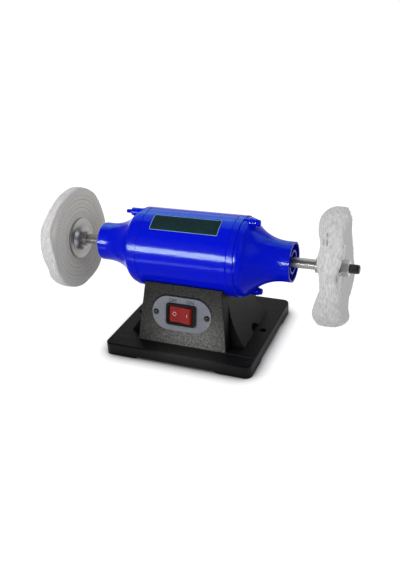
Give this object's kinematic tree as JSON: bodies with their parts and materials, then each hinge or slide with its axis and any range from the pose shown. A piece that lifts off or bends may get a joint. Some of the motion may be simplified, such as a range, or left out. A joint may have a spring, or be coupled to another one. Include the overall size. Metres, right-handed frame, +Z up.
{
  "type": "bench polishing machine",
  "caption": "Bench polisher: blue motor with trumpet-shaped end bells on a black cast pedestal, a rocker switch in front and a cloth buff clamped on each end of the shaft.",
  "frame": {"origin": "on the bench, under the middle of the base", "axes": "+X along the shaft to the loose buff, -Y towards the user and the switch, +Z up"},
  "size_m": [0.456, 0.19, 0.2078],
  "materials": {
    "casting_enamel": "black stoved enamel over a sand-cast skin",
    "blue_enamel": "high-gloss blue enamel",
    "blue_enamel_bolts": "steel bolts painted over with the motor",
    "machined_steel": "turned steel",
    "flange_steel": "turned steel, satin",
    "zinc_nuts": "zinc-plated",
    "zinc_screws": "zinc-plated",
    "black_screws": "black-oxide screws",
    "zinc_sheet": "zinc-plated sheet",
    "bearing_steel": "ground and polished",
    "lamination_steel": "stacked sheet, unpainted",
    "enamelled_copper": "varnished copper wire",
    "cast_aluminium": "as cast",
    "capacitor_can": "drawn can",
    "grey_plate": "satin grey paint",
    "black_plastic": "moulded",
    "red_plastic": "moulded, semi-gloss",
    "brass_blades": "tinned brass",
    "black_rubber": "moulded",
    "buff_cotton": "layered cotton cloth"
  },
  "bodies": {
    "frame": {"base_casting": "casting_enamel", "bottom_cover": "zinc_sheet", "bottom_cover_screws": "zinc_screws", "capacitor": "capacitor_can", "capacitor_strap": "zinc_sheet", "terminal_block": "black_plastic", "tray_screws": "zinc_screws", "cord_gland": "black_rubber", "motor_shell": "blue_enamel", "motor_bolts": "zinc_screws", "motor_washers": "zinc_screws", "lead_grommet": "black_rubber", "left_end_bell": "blue_enamel", "right_end_bell": "blue_enamel", "tie_bolts": "blue_enamel_bolts", "stator_core": "lamination_steel", "stator_windings": "enamelled_copper", "left_bearing_outer": "bearing_steel", "right_bearing_outer": "bearing_steel", "bearing_seals": "black_rubber", "wave_washer": "bearing_steel", "switch_plate": "grey_plate", "switch_plate_screws": "black_screws", "switch_housing": "black_plastic", "switch_terminals": "brass_blades"},
    "rotor": {"shaft": "machined_steel", "rotor_core": "lamination_steel", "rotor_cage": "cast_aluminium", "left_bearing_inner": "bearing_steel", "right_bearing_inner": "bearing_steel", "left_inner_flange": "flange_steel", "right_inner_flange": "flange_steel", "left_outer_flange": "flange_steel", "right_outer_flange": "flange_steel", "left_arbor_nut": "zinc_nuts", "right_arbor_nut": "zinc_nuts", "stitched_buff": "buff_cotton", "loose_buff": "buff_cotton"},
    "rocker": {"rocker": "red_plastic"},
    "left_balls": {"left_ball_set": "bearing_steel"},
    "right_balls": {"right_ball_set": "bearing_steel"}
  },
  "joints": [
    {"name": "rotor_spin", "type": "hinge", "parent": "frame", "child": "rotor", "pos_m": [0, 0, 0.1313], "axis": [1, 0, 0], "continuous": true},
    {"name": "left_balls_orbit", "type": "hinge", "parent": "frame", "child": "left_balls", "pos_m": [0, 0, 0.1313], "axis": [1, 0, 0], "continuous": true},
    {"name": "right_balls_orbit", "type": "hinge", "parent": "frame", "child": "right_balls", "pos_m": [0, 0, 0.1313], "axis": [1, 0, 0], "continuous": true},
    {"name": "switch_rocker", "type": "hinge", "parent": "frame", "child": "rocker", "pos_m": [0, -0.05899, 0.06183], "axis": [0, 0.2487, 0.9686], "range_deg": [0, 14]}
  ],
  "couplings": [
    {"joint": "left_balls_orbit", "follows": "rotor_spin", "ratio": 0.382},
    {"joint": "right_balls_orbit", "follows": "rotor_spin", "ratio": 0.382}
  ]
}
